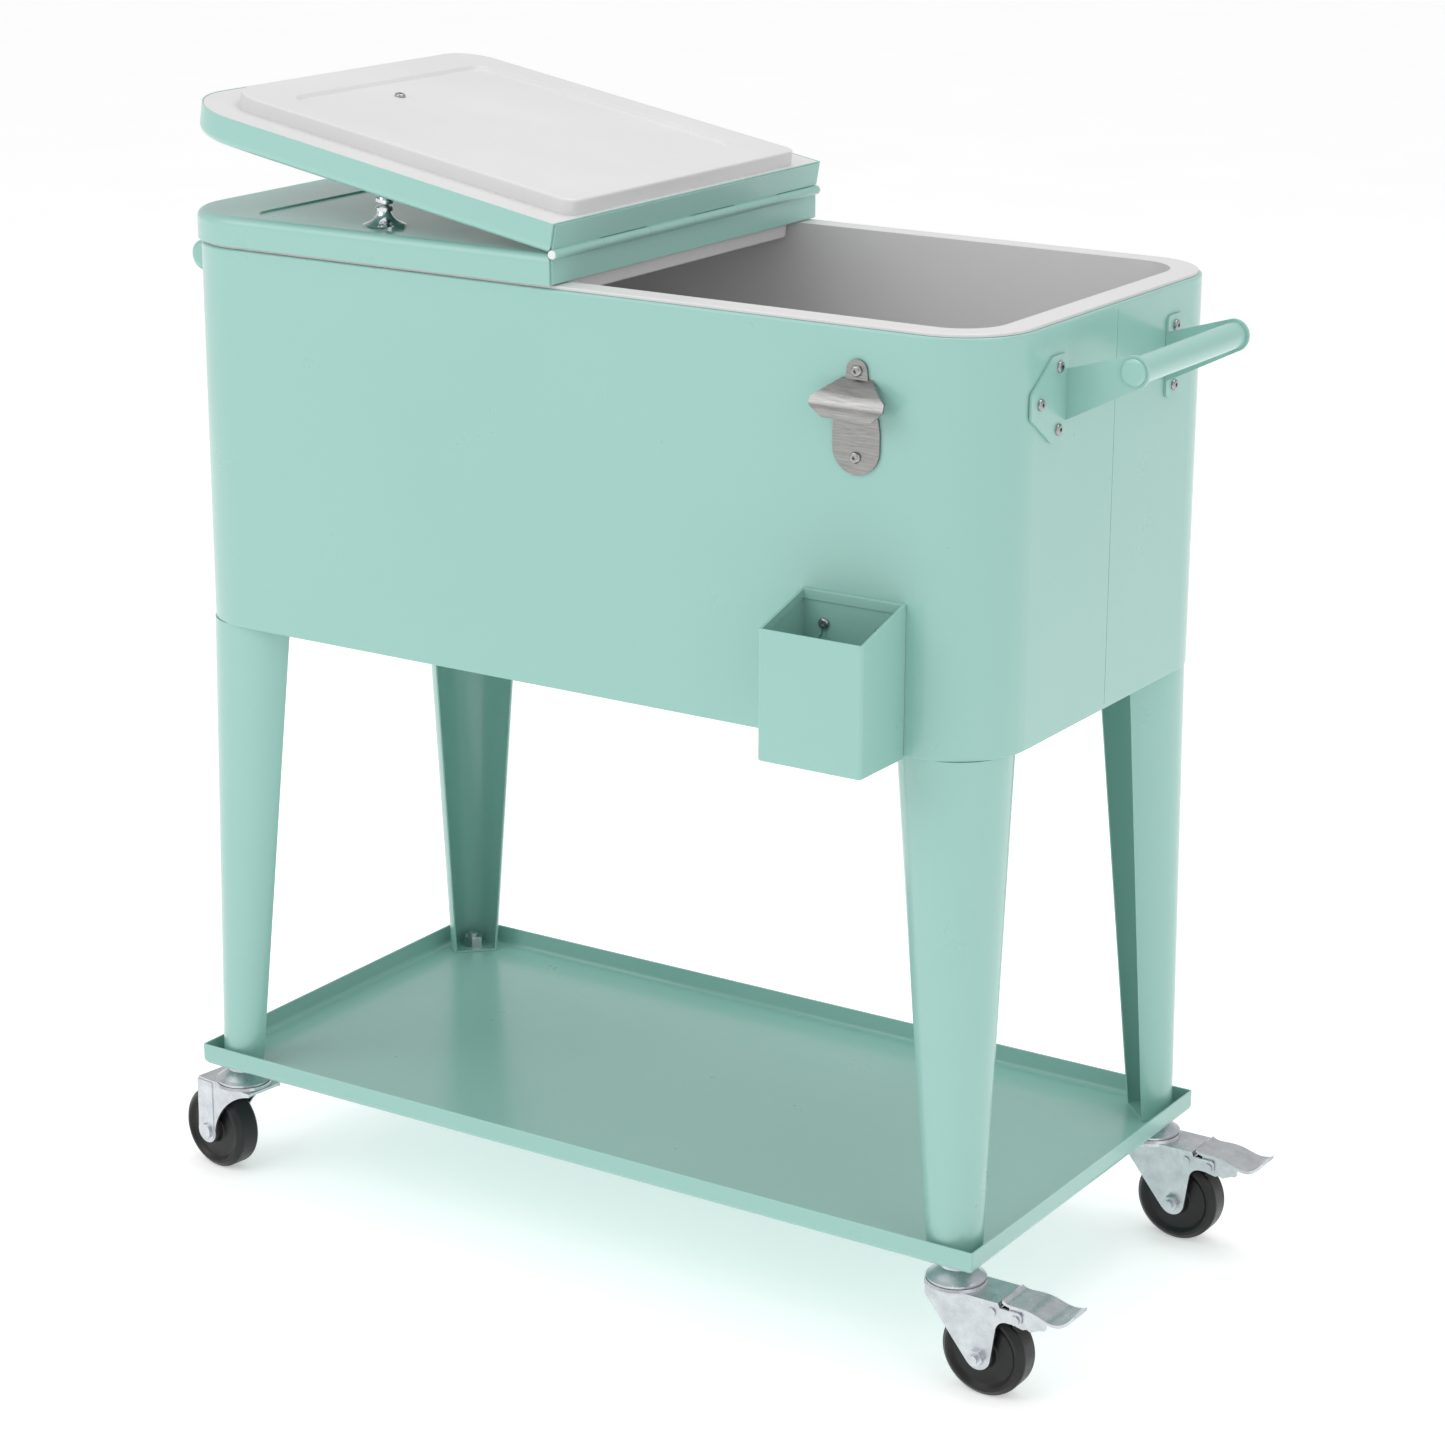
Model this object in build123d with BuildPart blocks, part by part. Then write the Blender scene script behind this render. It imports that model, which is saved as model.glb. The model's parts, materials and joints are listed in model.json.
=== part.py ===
from build123d import *
import os
from math import acos, atan2, copysign, cos, degrees, radians, sin

# A rolling patio cooler chest: an insulated sheet-steel tub on four trough legs, with a low
# shelf tray, swivel casters and two lids on a hinge across the middle.
# Millimetres. X is the length, Y the depth (front is -Y), Z up, origin on the floor at the centre.

os.makedirs("parts", exist_ok=True)

# ---------------------------------------------------------------- driving dimensions
SHEET = 1.2  # painted sheet steel
GAP = 0.2  # clearance between fixed neighbours
RUN = 0.05  # radial running clearance of pins and shafts

TRAY_Z = 107.0
TRAY_L, TRAY_W, TRAY_H = 787.0, 392.0, 19.5
TRAY_SHEET, TRAY_BEND = 1.5, 6.5

BODY_L, BODY_W, BODY_R = 785.4, 391.0, 62.8
BODY_Z0 = TRAY_Z + 416.0
BODY_Z1 = BODY_Z0 + 325.3
FLANGE = 10.0  # width of the shell's folded-in edges

RIM_Z0, RIM_Z1 = BODY_Z1 + GAP, BODY_Z1 + 2.7  # the tub's flange
RIM_INSET = 3.0
TUB_TOP, TUB_FOOT = (735.0, 341.0, 39.0), (715.0, 321.0, 30.0)  # inside length, width, radius
TUB_WALL = 3.0
TUB_FLOOR = BODY_Z0 + 24.0
PAN_Z0 = BODY_Z0 + SHEET + 0.1
PAN_Z1 = PAN_Z0 + SHEET
FOAM_Z0, FOAM_Z1 = PAN_Z1 + 0.1, BODY_Z1 - SHEET - 0.1

STEM_X, STEM_Y, STEM_R = 367.0, 173.0, 5.0
LEG_SHEET = 1.4
LEG_Z0, LEG_Z1 = TRAY_Z + TRAY_SHEET + 0.3, BODY_Z0
# apex and chord of the trough, measured outward along the diagonal from the stem's axis
LEG_FOOT = {"z": LEG_Z0, "apex": 16.5, "depth": 33.0, "half_chord": 19.4}
LEG_HEAD = {"z": LEG_Z1, "apex": 9.0, "depth": 60.0, "half_chord": 43.7}
LEG_PLATE = 1.5
LEG_BOLTS = (-12.0, -36.0)  # along the same diagonal
BOLT_R = 3.0
NUT_H, NUT_R = 10.0, 9.8

HINGE_Z = BODY_Z1 + 27.7
LID_L, LID_HALF_W, LID_H, LID_R = 395.0, 198.5, 24.5, 65.0
LID_TILT = 9.9  # the right lid rests folded over, this far above the left one
LID_START = 2.0
LID_ROUND = 7.0
PLUG_H, PLUG_INSET = 12.8, 30.5
PIN_R, KNUCKLE_R, KNUCKLES = 2.0, 4.0, 6
KNUCKLE_HALF_SPAN = 196.0
KNOB_X, KNOB_Y, KNOB_H = 195.0, 158.0, 16.2
LINER_SCREW_X, LINER_SCREW_Y = 289.0, 26.0

HANDLE_Z = BODY_Z1 - 56.0
GRIP_X, GRIP_Z, GRIP_R = 451.0, HANDLE_Z + 24.0, 10.5
HANDLE_SCREWS = ((98.0, 24.0), (98.0, -24.0), (127.4, 0.0))
ARM_IN, ARM_SHEET = 85.0, 2.0

OPENER_X, OPENER_Z_TOP, OPENER_Z_LOW = 277.5, BODY_Z1 - 31.8, BODY_Z1 - 97.6
CATCH_X, CATCH_W = 276.8, 91.5
CATCH_Y0, CATCH_Y1 = -BODY_W / 2 - 0.5, -BODY_W / 2 - 64.0
CATCH_Z0, CATCH_BACK, CATCH_FRONT = BODY_Z0 - 2.3, BODY_Z0 + 120.5, BODY_Z0 + 102.0
CATCH_SCREW_DX, CATCH_SCREW_Z, CATCH_LIFT = 25.0, BODY_Z0 + 95.0, 14.0
SCREW_R, SCREW_HEAD_R = 2.5, 4.6

DRAIN_X, DRAIN_Y, DRAIN_R, DRAIN_BORE = -250.0, 70.0, 10.0, 7.0
DRAIN_Z0, DRAIN_TAIL_R, DRAIN_TAIL = BODY_Z0 - 32.0, 9.5, 25.0  # the free end below the nut

WHEEL_R, WHEEL_HALF_W, HUB_HALF_W = 37.5, 13.0, 16.6
TRAIL, AXLE_R = 31.0, 4.0
CHEEK_IN, CHEEK_SHEET = 17.0, 2.0
FORK_TOP, RACE_TOP = 88.5, 91.0
PIVOT_X, PIVOT_Z = 63.6, 77.8
LOCK_X, LOCK_Z = 42.6, 79.4
RIVET_R = 2.5

DEPTH = {"front": -1, "back": 1}
SIDE = {"left": -1, "right": 1}
TRAIL_ANGLE = {"front_right": 0.0, "back_right": 0.0, "front_left": 172.0, "back_left": 186.0}


def save(builder, name):
    """Label a finished sub-part and write its file."""
    builder.part.label = name
    export_step(builder.part, f"parts/{name}.step")


def drill(plane, points, radius, reach):
    """Cut round holes through the part being built, to both sides of a plane."""
    with BuildSketch(plane) as holes:
        with Locations(*points):
            Circle(radius)
    extrude(holes.sketch, amount=reach, both=True, mode=Mode.SUBTRACT)


def tub_form(grow, z_low, z_high):
    """Loft the tub's tapering inside form, grown by a wall's thickness."""
    profiles = []
    for (length, width, corner), z in ((TUB_FOOT, z_low), (TUB_TOP, z_high)):
        with BuildSketch(Plane.XY.offset(z)) as profile:
            RectangleRounded(length + 2 * grow, width + 2 * grow, corner + grow)
        profiles.append(profile.sketch.face())
    return profiles


# ---------------------------------------------------------------- fastener positions
END_PLANES = {side: Plane(origin=(sign * BODY_L / 2, 0, HANDLE_Z), x_dir=(0, 1, 0), z_dir=(1, 0, 0))
              for side, sign in SIDE.items()}
FRONT_PLANE = Plane(origin=(0, -BODY_W / 2, 0), x_dir=(1, 0, 0), z_dir=(0, -1, 0))
HANDLE_POINTS = [(sign * y, z) for sign in (-1, 1) for y, z in HANDLE_SCREWS]
OPENER_POINTS = [(OPENER_X, OPENER_Z_TOP), (OPENER_X, OPENER_Z_LOW)]
CATCH_POINTS = [(CATCH_X + dx, CATCH_SCREW_Z) for dx in (-CATCH_SCREW_DX, CATCH_SCREW_DX)]
STEMS = {f"{depth}_{side}": (SIDE[side] * STEM_X, DEPTH[depth] * STEM_Y)
         for depth in DEPTH for side in SIDE}


def diagonal(stem, distance):
    """A point on a leg's outward diagonal, at a distance from its stem's axis."""
    x, y = stem
    step = distance * cos(radians(45))
    return (x + step * copysign(1, x), y + step * copysign(1, y))


BOLT_POINTS = [diagonal(stem, d) for stem in STEMS.values() for d in LEG_BOLTS]


# ---------------------------------------------------------------- insulated body
def body_shell():
    with BuildPart() as shell:
        with BuildSketch(Plane.XY.offset(BODY_Z0)):
            RectangleRounded(BODY_L, BODY_W, BODY_R)
        extrude(amount=BODY_Z1 - BODY_Z0)
        fillet(shell.edges().group_by(Axis.Z)[-1], radius=2.0)
        fillet(shell.edges().group_by(Axis.Z)[0], radius=1.0)
        with BuildSketch(Plane.XY.offset(BODY_Z0 + SHEET)):
            RectangleRounded(BODY_L - 2 * SHEET, BODY_W - 2 * SHEET, BODY_R - SHEET)
        extrude(amount=BODY_Z1 - BODY_Z0 - 2 * SHEET, mode=Mode.SUBTRACT)
        with BuildSketch(Plane.XY.offset(BODY_Z0)):
            RectangleRounded(BODY_L - 2 * FLANGE, BODY_W - 2 * FLANGE, BODY_R - FLANGE)
        extrude(amount=BODY_Z1 - BODY_Z0, mode=Mode.SUBTRACT)
        # the sheet's butt seam shows as a groove down the middle of the right end
        with Locations((BODY_L / 2, 0, (BODY_Z0 + BODY_Z1) / 2)):
            Box(0.9, 0.8, BODY_Z1 - BODY_Z0 - 8, mode=Mode.SUBTRACT)
        for plane in END_PLANES.values():
            drill(plane, HANDLE_POINTS, SCREW_R + 0.1, 3)
        drill(FRONT_PLANE, OPENER_POINTS + CATCH_POINTS, SCREW_R + 0.1, 3)
    save(shell, "body_shell")


def body_base_pan():
    margin = SHEET + GAP
    with BuildPart() as pan:
        with BuildSketch(Plane.XY.offset(PAN_Z0)):
            RectangleRounded(BODY_L - 2 * margin, BODY_W - 2 * margin, BODY_R - margin)
        extrude(amount=SHEET)
        drill(Plane.XY.offset(PAN_Z0), BOLT_POINTS, BOLT_R + 0.2, 3)
        drill(Plane.XY.offset(PAN_Z0), [(DRAIN_X, DRAIN_Y)], DRAIN_R + GAP, 3)
    save(pan, "body_base_pan")


def inner_tub():
    with BuildPart() as tub:
        loft(tub_form(TUB_WALL, TUB_FLOOR - TUB_WALL, RIM_Z0))
        fillet(tub.edges().group_by(Axis.Z)[0], radius=8.0)
        with BuildSketch(Plane.XY.offset(RIM_Z0)):
            RectangleRounded(BODY_L - 2 * RIM_INSET, BODY_W - 2 * RIM_INSET, BODY_R - RIM_INSET)
        extrude(amount=RIM_Z1 - RIM_Z0)
        fillet(tub.edges().group_by(Axis.Z)[-1], radius=1.0)
        with BuildPart(mode=Mode.PRIVATE) as inside:
            loft(tub_form(0, TUB_FLOOR, RIM_Z1))
            fillet(inside.edges().group_by(Axis.Z)[0], radius=6.0)
        add(inside.part, mode=Mode.SUBTRACT)
        drill(Plane.XY.offset(TUB_FLOOR), [(DRAIN_X, DRAIN_Y)], DRAIN_R + GAP, 6)
    save(tub, "inner_tub")


def foam_insulation():
    margin = SHEET + GAP
    with BuildPart() as foam:
        with BuildSketch(Plane.XY.offset(FOAM_Z0)):
            RectangleRounded(BODY_L - 2 * margin, BODY_W - 2 * margin, BODY_R - margin)
        extrude(amount=FOAM_Z1 - FOAM_Z0)
        with BuildPart(mode=Mode.PRIVATE) as hollow:
            loft(tub_form(TUB_WALL + GAP, TUB_FLOOR - TUB_WALL - GAP, RIM_Z0))
            fillet(hollow.edges().group_by(Axis.Z)[0], radius=8.0)
        add(hollow.part, mode=Mode.SUBTRACT)
        for plane in END_PLANES.values():
            drill(plane, HANDLE_POINTS, SCREW_R + 1, 12)
        drill(FRONT_PLANE, OPENER_POINTS + CATCH_POINTS, SCREW_R + 1, 12)
        drill(Plane.XY.offset(FOAM_Z0), BOLT_POINTS, 7.0, 14)
        drill(Plane.XY.offset(FOAM_Z0), [(DRAIN_X, DRAIN_Y)], DRAIN_R + 1, 30)
    save(foam, "foam_insulation")


# ---------------------------------------------------------------- legs and shelf tray
def trough_arc(stem, section):
    """Centre, radius, facing and half-spread of a leg's arched section."""
    radius = (section["half_chord"] ** 2 + section["depth"] ** 2) / (2 * section["depth"])
    spread = degrees(acos((radius - section["depth"]) / radius))
    facing = degrees(atan2(copysign(1, stem[1]), copysign(1, stem[0])))
    return diagonal(stem, section["apex"] - radius), radius, facing, spread


def leg(name, stem):
    with BuildPart() as trough:
        for section in (LEG_FOOT, LEG_HEAD):
            centre, radius, facing, spread = trough_arc(stem, section)
            with BuildSketch(Plane.XY.offset(section["z"])):
                with BuildLine():
                    outer = CenterArc(centre, radius, facing - spread, 2 * spread)
                    inner = CenterArc(centre, radius - LEG_SHEET, facing - spread, 2 * spread)
                    Line(outer @ 0, inner @ 0)
                    Line(outer @ 1, inner @ 1)
                make_face()
        loft()
        # closing plates at the foot and under the body
        for section, lift in ((LEG_FOOT, LEG_PLATE), (LEG_HEAD, -LEG_PLATE)):
            centre, radius, facing, spread = trough_arc(stem, section)
            with BuildSketch(Plane.XY.offset(section["z"])):
                with BuildLine():
                    edge = CenterArc(centre, radius - LEG_SHEET / 2, facing - spread, 2 * spread)
                    Line(edge @ 0, edge @ 1)
                make_face()
            extrude(amount=lift)
        drill(Plane.XY.offset(LEG_Z0), [stem], STEM_R + 0.1, 3)
        drill(Plane.XY.offset(LEG_Z1), [diagonal(stem, d) for d in LEG_BOLTS], BOLT_R + 0.2, 3)
    save(trough, f"leg_{name}")


def leg_bolts():
    head_z = LEG_Z1 - LEG_PLATE - 4.0
    with BuildPart() as bolts:
        with BuildSketch(Plane.XY.offset(head_z)):
            with Locations(*BOLT_POINTS):
                RegularPolygon(5.8, 6)
        extrude(amount=3.9)
        with BuildSketch(Plane.XY.offset(head_z)):
            with Locations(*BOLT_POINTS):
                Circle(BOLT_R)
        extrude(amount=15.0)
        with BuildSketch(Plane.XY.offset(PAN_Z1 + 0.1)):
            with Locations(*BOLT_POINTS):
                RegularPolygon(5.8, 6)
        extrude(amount=5.0)
    save(bolts, "leg_bolts")


def bottom_tray():
    with BuildPart() as tray:
        with BuildSketch(Plane.XY.offset(TRAY_Z)):
            RectangleRounded(TRAY_L, TRAY_W, 2.0)
        extrude(amount=TRAY_H)
        fillet(tray.edges().group_by(Axis.Z)[0], radius=TRAY_BEND)
        with BuildPart(mode=Mode.PRIVATE) as inside:
            with BuildSketch(Plane.XY.offset(TRAY_Z + TRAY_SHEET)):
                RectangleRounded(TRAY_L - 2 * TRAY_SHEET, TRAY_W - 2 * TRAY_SHEET, 1.2)
            extrude(amount=TRAY_H)
            fillet(inside.edges().group_by(Axis.Z)[0], radius=TRAY_BEND - TRAY_SHEET)
        add(inside.part, mode=Mode.SUBTRACT)
        drill(Plane.XY.offset(TRAY_Z), list(STEMS.values()), STEM_R + 0.1, 4)
    save(tray, "bottom_tray")


def stem_nuts():
    nut_z = LEG_Z0 + LEG_PLATE
    with BuildPart() as nuts:
        with BuildSketch(Plane.XY.offset(nut_z)):
            with Locations(*STEMS.values()):
                RegularPolygon(NUT_R, 6)
        extrude(amount=NUT_H)
        chamfer(nuts.edges().group_by(Axis.Z)[-1], length=0.8)
        drill(Plane.XY.offset(nut_z), list(STEMS.values()), STEM_R + RUN, NUT_H + 2)
    save(nuts, "stem_nuts")


# ---------------------------------------------------------------- end handles
def handle_bracket(side, depth):
    """A folded bracket: a screwed plate on the body's end and an arm out to the grip."""
    out, along = SIDE[side], DEPTH[depth]
    face = Plane(origin=(out * (BODY_L / 2 + GAP), 0, HANDLE_Z), x_dir=(0, along, 0),
                 z_dir=(out, 0, 0))
    arm_plane = Plane(origin=(0, along * (ARM_IN + ARM_SHEET / 2), 0), x_dir=(out, 0, 0),
                      z_dir=(0, -out, 0))
    up = face.y_dir.Z
    with BuildPart() as bracket:
        with BuildSketch(face):
            with BuildLine():
                FilletPolyline((85, -33 * up), (108, -33 * up), (141, -9.5 * up), (141, 9.5 * up),
                               (108, 33 * up), (85, 33 * up), radius=5.0, close=True)
            make_face()
        extrude(amount=ARM_SHEET)
        with BuildSketch(arm_plane):
            with BuildLine():
                Polyline((BODY_L / 2 + GAP, HANDLE_Z - 20), (BODY_L / 2 + GAP, HANDLE_Z + 20),
                         (GRIP_X - 5, GRIP_Z + 12), (GRIP_X + 5, GRIP_Z - 12), close=True)
            make_face()
            with Locations((GRIP_X, GRIP_Z)):
                Circle(GRIP_R + 2.5)
        extrude(amount=ARM_SHEET / 2, both=True)
        drill(arm_plane, [(GRIP_X, GRIP_Z)], GRIP_R + RUN, 4)
        drill(face, [(y, z * up) for y, z in HANDLE_SCREWS], SCREW_R + 0.1, 4)
    save(bracket, f"handle_bracket_{depth}_{side}")


def handle_grip(side):
    axis_plane = Plane(origin=(SIDE[side] * GRIP_X, 0, GRIP_Z), x_dir=(1, 0, 0), z_dir=(0, 1, 0))
    with BuildPart() as grip:
        with BuildSketch(axis_plane):
            Circle(GRIP_R)
        extrude(amount=ARM_IN + ARM_SHEET + 4, both=True)
        fillet(grip.edges().filter_by(GeomType.CIRCLE), radius=3.0)
    save(grip, f"handle_grip_{side}")


# ---------------------------------------------------------------- screws
def button_screws(name, plane, points, seat, reach):
    """Button-head screws: heads seated this far above a plane, shanks reaching below it."""
    with BuildPart() as screws:
        with BuildSketch(plane.offset(seat)) as heads:
            with Locations(*points):
                Circle(SCREW_HEAD_R)
        extrude(heads.sketch, amount=2.6)
        fillet(screws.edges().group_by(Axis(plane.origin, plane.z_dir))[-1], radius=2.0)
        with BuildSketch(plane.offset(seat)) as shanks:
            with Locations(*points):
                Circle(SCREW_R)
        extrude(shanks.sketch, amount=-(seat + reach))
        with BuildSketch(plane.offset(seat + 2.6)) as sockets:
            with Locations(*points):
                RegularPolygon(1.7, 6)
        extrude(sockets.sketch, amount=-1.6, mode=Mode.SUBTRACT)
    save(screws, name)


def all_screws():
    for side, sign in SIDE.items():
        outward = Plane(origin=(sign * BODY_L / 2, 0, HANDLE_Z), x_dir=(0, 1, 0), z_dir=(sign, 0, 0))
        points = [(y, z * outward.y_dir.Z) for y, z in HANDLE_POINTS]
        button_screws(f"handle_screws_{side}", outward, points, GAP + ARM_SHEET, 8)
    points = [(x, z * FRONT_PLANE.y_dir.Z) for x, z in OPENER_POINTS]
    button_screws("opener_screws", FRONT_PLANE, points, GAP + 2.0, 8)
    points = [(x, z * FRONT_PLANE.y_dir.Z) for x, z in CATCH_POINTS]
    button_screws("catcher_screws", FRONT_PLANE, points, 2.2, 8)


# ---------------------------------------------------------------- bottle opener
def bottle_opener():
    wall = FRONT_PLANE.offset(GAP)
    hood_x = Plane(origin=(OPENER_X, 0, 0), x_dir=(0, -1, 0), z_dir=(-1, 0, 0))
    near = BODY_W / 2 + GAP
    low, top = OPENER_Z_LOW, OPENER_Z_TOP
    with BuildPart() as opener:
        with BuildSketch(wall):
            with Locations((OPENER_X, top)):
                Circle(9.0)
            with BuildLine():
                Polyline((OPENER_X - 9, top), (OPENER_X - 10, top - 12), (OPENER_X - 19, low + 30),
                         (OPENER_X - 20.5, low + 20), (OPENER_X - 20.5, low + 7),
                         (OPENER_X + 20.5, low + 7), (OPENER_X + 20.5, low + 20),
                         (OPENER_X + 19, low + 30), (OPENER_X + 10, top - 12),
                         (OPENER_X + 9, top), close=True)
            make_face()
            with Locations((OPENER_X, low + 7)):
                Circle(20.5)
        extrude(amount=2.0)
        # the bowed hood, whose lower lip hooks under a cap
        with BuildPart(mode=Mode.PRIVATE) as hood:
            with BuildSketch(hood_x):
                with BuildLine():
                    skin = Spline((near + 1, low + 60), (near + 9, low + 54), (near + 16, low + 46),
                                  (near + 18.5, low + 38), (near + 17, low + 31))
                    inner = Spline((near + 1, low + 56.5), (near + 8, low + 51.4),
                                   (near + 14, low + 44.5), (near + 16.2, low + 38),
                                   (near + 14.8, low + 31.6))
                    Line(skin @ 0, inner @ 0)
                    Line(skin @ 1, inner @ 1)
                make_face()
            extrude(amount=33, both=True)
            with BuildSketch(FRONT_PLANE):
                with BuildLine():
                    FilletPolyline((OPENER_X - 10, low + 62), (OPENER_X - 32, low + 46),
                                   (OPENER_X - 32, low + 40), (OPENER_X - 20, low + 30),
                                   (OPENER_X + 20, low + 30), (OPENER_X + 32, low + 40),
                                   (OPENER_X + 32, low + 46), (OPENER_X + 10, low + 62),
                                   radius=1.5, close=True)
                make_face()
            extrude(amount=25, mode=Mode.INTERSECT)
        add(hood.part)
        drill(wall, OPENER_POINTS, SCREW_R + 0.1, 4)
    save(opener, "bottle_opener")


# ---------------------------------------------------------------- cap catcher
def cap_catcher():
    """A sheet box with a sloping rim, hung by keyholes on two shoulder screws."""
    side_view = Plane(origin=(CATCH_X, 0, 0), x_dir=(0, 1, 0), z_dir=(1, 0, 0))
    back_wall = Plane(origin=(0, CATCH_Y0, 0), x_dir=(1, 0, 0), z_dir=(0, -1, 0))
    half = CATCH_W / 2
    inner_y0, inner_y1 = CATCH_Y0 - SHEET, CATCH_Y1 + SHEET
    with BuildPart() as catcher:
        with BuildSketch(side_view):
            with BuildLine():
                Polyline((CATCH_Y0, CATCH_Z0), (CATCH_Y1, CATCH_Z0), (CATCH_Y1, CATCH_FRONT),
                         (CATCH_Y0, CATCH_BACK), close=True)
            make_face()
        extrude(amount=half, both=True)
        fillet(catcher.edges().filter_by(Axis.Z).sort_by(Axis.Y)[:2], radius=2.5)
        fillet(catcher.edges().group_by(Axis.Z)[0].filter_by(Axis.X), radius=2.0)
        with BuildSketch(side_view):
            with BuildLine():
                Polyline((inner_y0, CATCH_Z0 + SHEET), (inner_y1, CATCH_Z0 + SHEET),
                         (inner_y1, CATCH_FRONT + 9), (inner_y0, CATCH_BACK + 9), close=True)
            make_face()
        extrude(amount=half - SHEET, both=True, mode=Mode.SUBTRACT)
        # the side and back rims are hemmed over on the inside
        for x in (CATCH_X - half + SHEET, CATCH_X + half - 2 * SHEET):
            with BuildSketch(Plane(origin=(x, 0, 0), x_dir=(0, 1, 0), z_dir=(1, 0, 0))):
                with BuildLine():
                    Polyline((inner_y0, CATCH_BACK - 7.5), (inner_y1, CATCH_FRONT - 7),
                             (inner_y1, CATCH_FRONT), (inner_y0, CATCH_BACK - 0.5), close=True)
                make_face()
            extrude(amount=SHEET)
        with Locations((CATCH_X, inner_y0 - SHEET / 2, CATCH_BACK - 4.4)):
            Box(CATCH_W - 3 * SHEET, SHEET, 7)
        # keyholes: a slot that hangs on the shank, and the round hole that passes the head
        slots = [(x, z * back_wall.y_dir.Z) for x, z in CATCH_POINTS]
        drill(back_wall, slots, SCREW_R + 0.3, 1.3)
        drill(back_wall, [(x, z - CATCH_LIFT) for x, z in slots], SCREW_HEAD_R + 1, 1.3)
        with Locations(*[(x, CATCH_Y0, z - CATCH_LIFT / 2) for x, z in CATCH_POINTS]):
            Box(2 * SCREW_R + 0.6, 2.6, CATCH_LIFT, mode=Mode.SUBTRACT)
    save(catcher, "cap_catcher")


# ---------------------------------------------------------------- drain
def drain():
    spot = (DRAIN_X, DRAIN_Y)
    with BuildPart() as spout:
        with BuildSketch(Plane.XY.offset(TUB_FLOOR)):
            with Locations(spot):
                Circle(15.0)
        extrude(amount=2.0)
        chamfer(spout.edges().group_by(Axis.Z)[-1], length=0.8)
        with BuildSketch(Plane.XY.offset(DRAIN_Z0)):
            with Locations(spot):
                Circle(DRAIN_TAIL_R)
        extrude(amount=DRAIN_TAIL)
        with BuildSketch(Plane.XY.offset(DRAIN_Z0 + DRAIN_TAIL)):
            with Locations(spot):
                Circle(DRAIN_R)
        extrude(amount=TUB_FLOOR - DRAIN_Z0 - DRAIN_TAIL)
        drill(Plane.XY.offset(TUB_FLOOR), [spot], DRAIN_BORE, 80)
    save(spout, "drain_spout")
    with BuildPart() as locknut:
        with BuildSketch(Plane.XY.offset(PAN_Z0 - 6.2)):
            with Locations(spot):
                RegularPolygon(17.0, 6)
                Circle(DRAIN_R + RUN, mode=Mode.SUBTRACT)
        extrude(amount=6.0)
    save(locknut, "drain_locknut")
    seat = TUB_FLOOR + 2.4
    with BuildPart() as plug:
        with BuildSketch(Plane.XY.offset(seat)):
            with Locations(spot):
                Circle(12.0)
        extrude(amount=4.0)
        fillet(plug.edges().group_by(Axis.Z)[-1], radius=1.2)
        with BuildSketch(Plane.XY.offset(seat)):
            with Locations(spot):
                Circle(DRAIN_BORE - RUN)
        extrude(amount=-16.0)
        chamfer(plug.edges().group_by(Axis.Z)[0], length=1.5)
        with Locations(Plane(origin=(*spot, seat + 11.5), x_dir=(1, 0, 0), z_dir=(0, -1, 0))):
            Torus(8.0, 1.6)
    save(plug, "drain_plug")


# ---------------------------------------------------------------- lids
def lid_outline(inset, start, hinge_corner=0.0):
    """A lid seen from above: round at the free corners, square or slightly rounded at the hinge."""
    length, half = LID_L - inset - start, LID_HALF_W - inset
    with BuildSketch(mode=Mode.PRIVATE) as outline:
        with Locations((start + length / 2, 0)):
            Rectangle(length, 2 * half)
        fillet(outline.vertices().sort_by(Axis.X)[2:], radius=max(LID_R - inset, 8.0))
        if hinge_corner:
            fillet(outline.vertices().sort_by(Axis.X)[:2], radius=hinge_corner)
    return outline.sketch


def across(lid, group):
    """The edges of the part being built at one height of a lid's own frame."""
    return group.group_by(Axis(lid.origin, lid.z_dir))


def lid_shell(side, lid):
    with BuildPart() as shell:
        with BuildSketch(lid.offset(-LID_H)):
            add(lid_outline(0, LID_START))
        extrude(amount=LID_H)
        fillet(across(lid, shell.edges())[-1], radius=LID_ROUND)
        # a shallow pressed panel in the top
        with BuildSketch(lid.offset(-1.4)):
            with Locations((172, 0)):
                RectangleRounded(296, 2 * (LID_HALF_W - 20), 22)
        extrude(amount=3.0, taper=-45, mode=Mode.SUBTRACT)
        with BuildPart(mode=Mode.PRIVATE) as inside:
            with BuildSketch(lid.offset(-LID_H - 1)):
                add(lid_outline(SHEET, LID_START + SHEET))
            extrude(amount=LID_H - 1.7)
            fillet(across(lid, inside.edges())[-1], radius=LID_ROUND - 1.5)
        add(inside.part, mode=Mode.SUBTRACT)
        drill(lid, [knob_point(lid)], SCREW_R + 0.1, 8)
    save(shell, f"{side}_lid_shell")


def knob_point(lid):
    """The knob stands near the front edge, whichever way the lid's frame turns."""
    return (KNOB_X, copysign(KNOB_Y, front_sign(lid)))


def front_sign(lid):
    """Which way the cooler's front lies along a lid frame's own Y."""
    return -1 if lid.y_dir.Y > 0 else 1


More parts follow.
